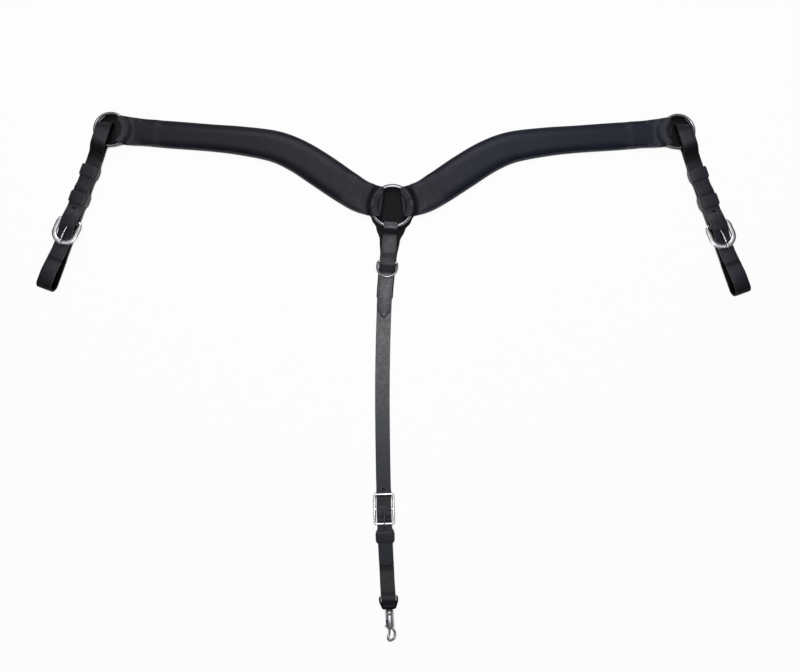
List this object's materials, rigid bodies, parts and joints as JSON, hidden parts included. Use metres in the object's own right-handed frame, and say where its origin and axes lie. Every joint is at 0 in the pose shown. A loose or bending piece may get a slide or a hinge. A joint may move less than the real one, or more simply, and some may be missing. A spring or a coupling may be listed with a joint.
{
  "type": "horse breast collar",
  "caption": "Padded leather horse breast collar: shaped panels meet on a centre ring, buckled tug straps hang from side rings, and a middle strap runs down to a swivel snap.",
  "frame": {"origin": "The middle of the centre ring, on the back of the leather safe behind it, which is the surface the collar lies on.", "axes": "+X runs across the chest to the right-hand tug strap as seen from the front. +Y points up to the neck. +Z points out of the front face, away from the horse."},
  "size_m": [1.227, 0.9158, 0.026],
  "materials": {
    "glazed_bridle_leather": "glazed black bridle leather",
    "waxed_strap_leather": "waxed black strap leather",
    "plain_lining_leather": "plain dull black leather",
    "keeper_leather": "thin black keeper leather",
    "felt_padding": "pressed felt",
    "nickel_plated_wire": "bright nickel-plated wire",
    "nickel_plated_casting": "bright nickel-plated casting",
    "spring_steel": "drawn spring wire"
  },
  "bodies": {
    "ring": {"centre_ring": "nickel_plated_wire"},
    "left_breast": {"left_breast_face": "glazed_bridle_leather", "left_breast_padding": "felt_padding", "left_breast_lining": "plain_lining_leather"},
    "right_breast": {"right_breast_face": "glazed_bridle_leather", "right_breast_padding": "felt_padding", "right_breast_lining": "plain_lining_leather"},
    "left_outer_ring": {"left_ring": "nickel_plated_wire"},
    "right_outer_ring": {"right_ring": "nickel_plated_wire"},
    "left_tug": {"left_tug_strap": "waxed_strap_leather", "left_tug_buckle": "nickel_plated_casting", "left_lower_keeper": "keeper_leather"},
    "right_tug": {"right_tug_strap": "waxed_strap_leather", "right_tug_buckle": "nickel_plated_casting", "right_lower_keeper": "keeper_leather"},
    "left_loose_keeper": {"left_upper_keeper": "keeper_leather"},
    "right_loose_keeper": {"right_upper_keeper": "keeper_leather"},
    "left_tongue": {"left_tug_tongue": "nickel_plated_casting"},
    "right_tongue": {"right_tug_tongue": "nickel_plated_casting"},
    "middle_strap": {"centre_strap": "waxed_strap_leather", "ring_backer": "plain_lining_leather", "snap_strap": "waxed_strap_leather", "centre_buckle": "nickel_plated_casting"},
    "dee": {"strap_dee": "nickel_plated_wire"},
    "middle_tongue": {"centre_tongue": "nickel_plated_casting"},
    "middle_keeper": {"centre_keeper": "keeper_leather"},
    "eye": {"snap_eye": "nickel_plated_casting"},
    "hook": {"snap_body": "nickel_plated_casting", "snap_spring": "spring_steel"},
    "bolt": {"snap_bolt": "nickel_plated_casting"}
  },
  "joints": [
    {"name": "left_breast_swing", "type": "hinge", "parent": "ring", "child": "left_breast", "pos_m": [0, 0, 0.0092], "axis": [0, 0, -1], "range_deg": [-6, 8]},
    {"name": "right_breast_swing", "type": "hinge", "parent": "ring", "child": "right_breast", "pos_m": [0, 0, 0.0092], "axis": [0, 0, 1], "range_deg": [-6, 8]},
    {"name": "middle_strap_swing", "type": "hinge", "parent": "ring", "child": "middle_strap", "pos_m": [0, 0, 0.0092], "axis": [0, 0, 1], "range_deg": [-8, 8]},
    {"name": "left_ring_tip", "type": "hinge", "parent": "left_breast", "child": "left_outer_ring", "pos_m": [-0.46235, 0.131, 0.00875], "axis": [0, 1, 0], "range_deg": [0, 9]},
    {"name": "right_ring_tip", "type": "hinge", "parent": "right_breast", "child": "right_outer_ring", "pos_m": [0.46235, 0.131, 0.00875], "axis": [0, -1, 0], "range_deg": [0, 9]},
    {"name": "left_tug_swing", "type": "hinge", "parent": "left_outer_ring", "child": "left_tug", "pos_m": [-0.4905, 0.131, 0.00875], "axis": [0, 0, -1], "range_deg": [-20, 25]},
    {"name": "right_tug_swing", "type": "hinge", "parent": "right_outer_ring", "child": "right_tug", "pos_m": [0.4905, 0.131, 0.00875], "axis": [0, 0, 1], "range_deg": [-20, 25]},
    {"name": "left_keeper_slide", "type": "slide", "parent": "left_tug", "child": "left_loose_keeper", "axis": [-0.342, -0.9397, 0], "range_m": [-0.008, 0.008]},
    {"name": "right_keeper_slide", "type": "slide", "parent": "right_tug", "child": "right_loose_keeper", "axis": [0.342, -0.9397, 0], "range_m": [-0.008, 0.008]},
    {"name": "left_tongue_lift", "type": "hinge", "parent": "left_tug", "child": "left_tongue", "pos_m": [-0.55778, -0.02755, 0.0118], "axis": [-0.9397, 0.342, 0], "range_deg": [0, 2]},
    {"name": "right_tongue_lift", "type": "hinge", "parent": "right_tug", "child": "right_tongue", "pos_m": [0.55778, -0.02755, 0.0118], "axis": [-0.9397, -0.342, 0], "range_deg": [0, 2]},
    {"name": "dee_flip", "type": "hinge", "parent": "middle_strap", "child": "dee", "pos_m": [-0.0072, -0.09673, 0.0079], "axis": [-0.9948, 0.1018, 0], "range_deg": [0, 150]},
    {"name": "middle_tongue_lift", "type": "hinge", "parent": "middle_strap", "child": "middle_tongue", "pos_m": [-0.01034, -0.52441, 0.0092], "axis": [-0.9992, -0.0409, 0], "range_deg": [0, 5]},
    {"name": "middle_keeper_slide", "type": "slide", "parent": "middle_strap", "child": "middle_keeper", "axis": [0.0482, -0.9988, 0], "range_m": [-0.008, 0.008]},
    {"name": "snap_lift", "type": "hinge", "parent": "middle_strap", "child": "eye", "pos_m": [-0.00186, -0.67517, 0.0098], "axis": [-0.9973, -0.0736, 0], "range_deg": [0, 90]},
    {"name": "snap_swivel", "type": "hinge", "parent": "eye", "child": "hook", "pos_m": [-0.00186, -0.67517, 0.0098], "axis": [0.0736, -0.9973, 0], "continuous": true},
    {"name": "bolt_slide", "type": "slide", "parent": "hook", "child": "bolt", "axis": [-0.0736, 0.9973, 0], "range_m": [0, 0.008], "stiffness_N_per_m": 250, "springref_m": -0.004, "deforming": ["snap_spring"]}
  ]
}
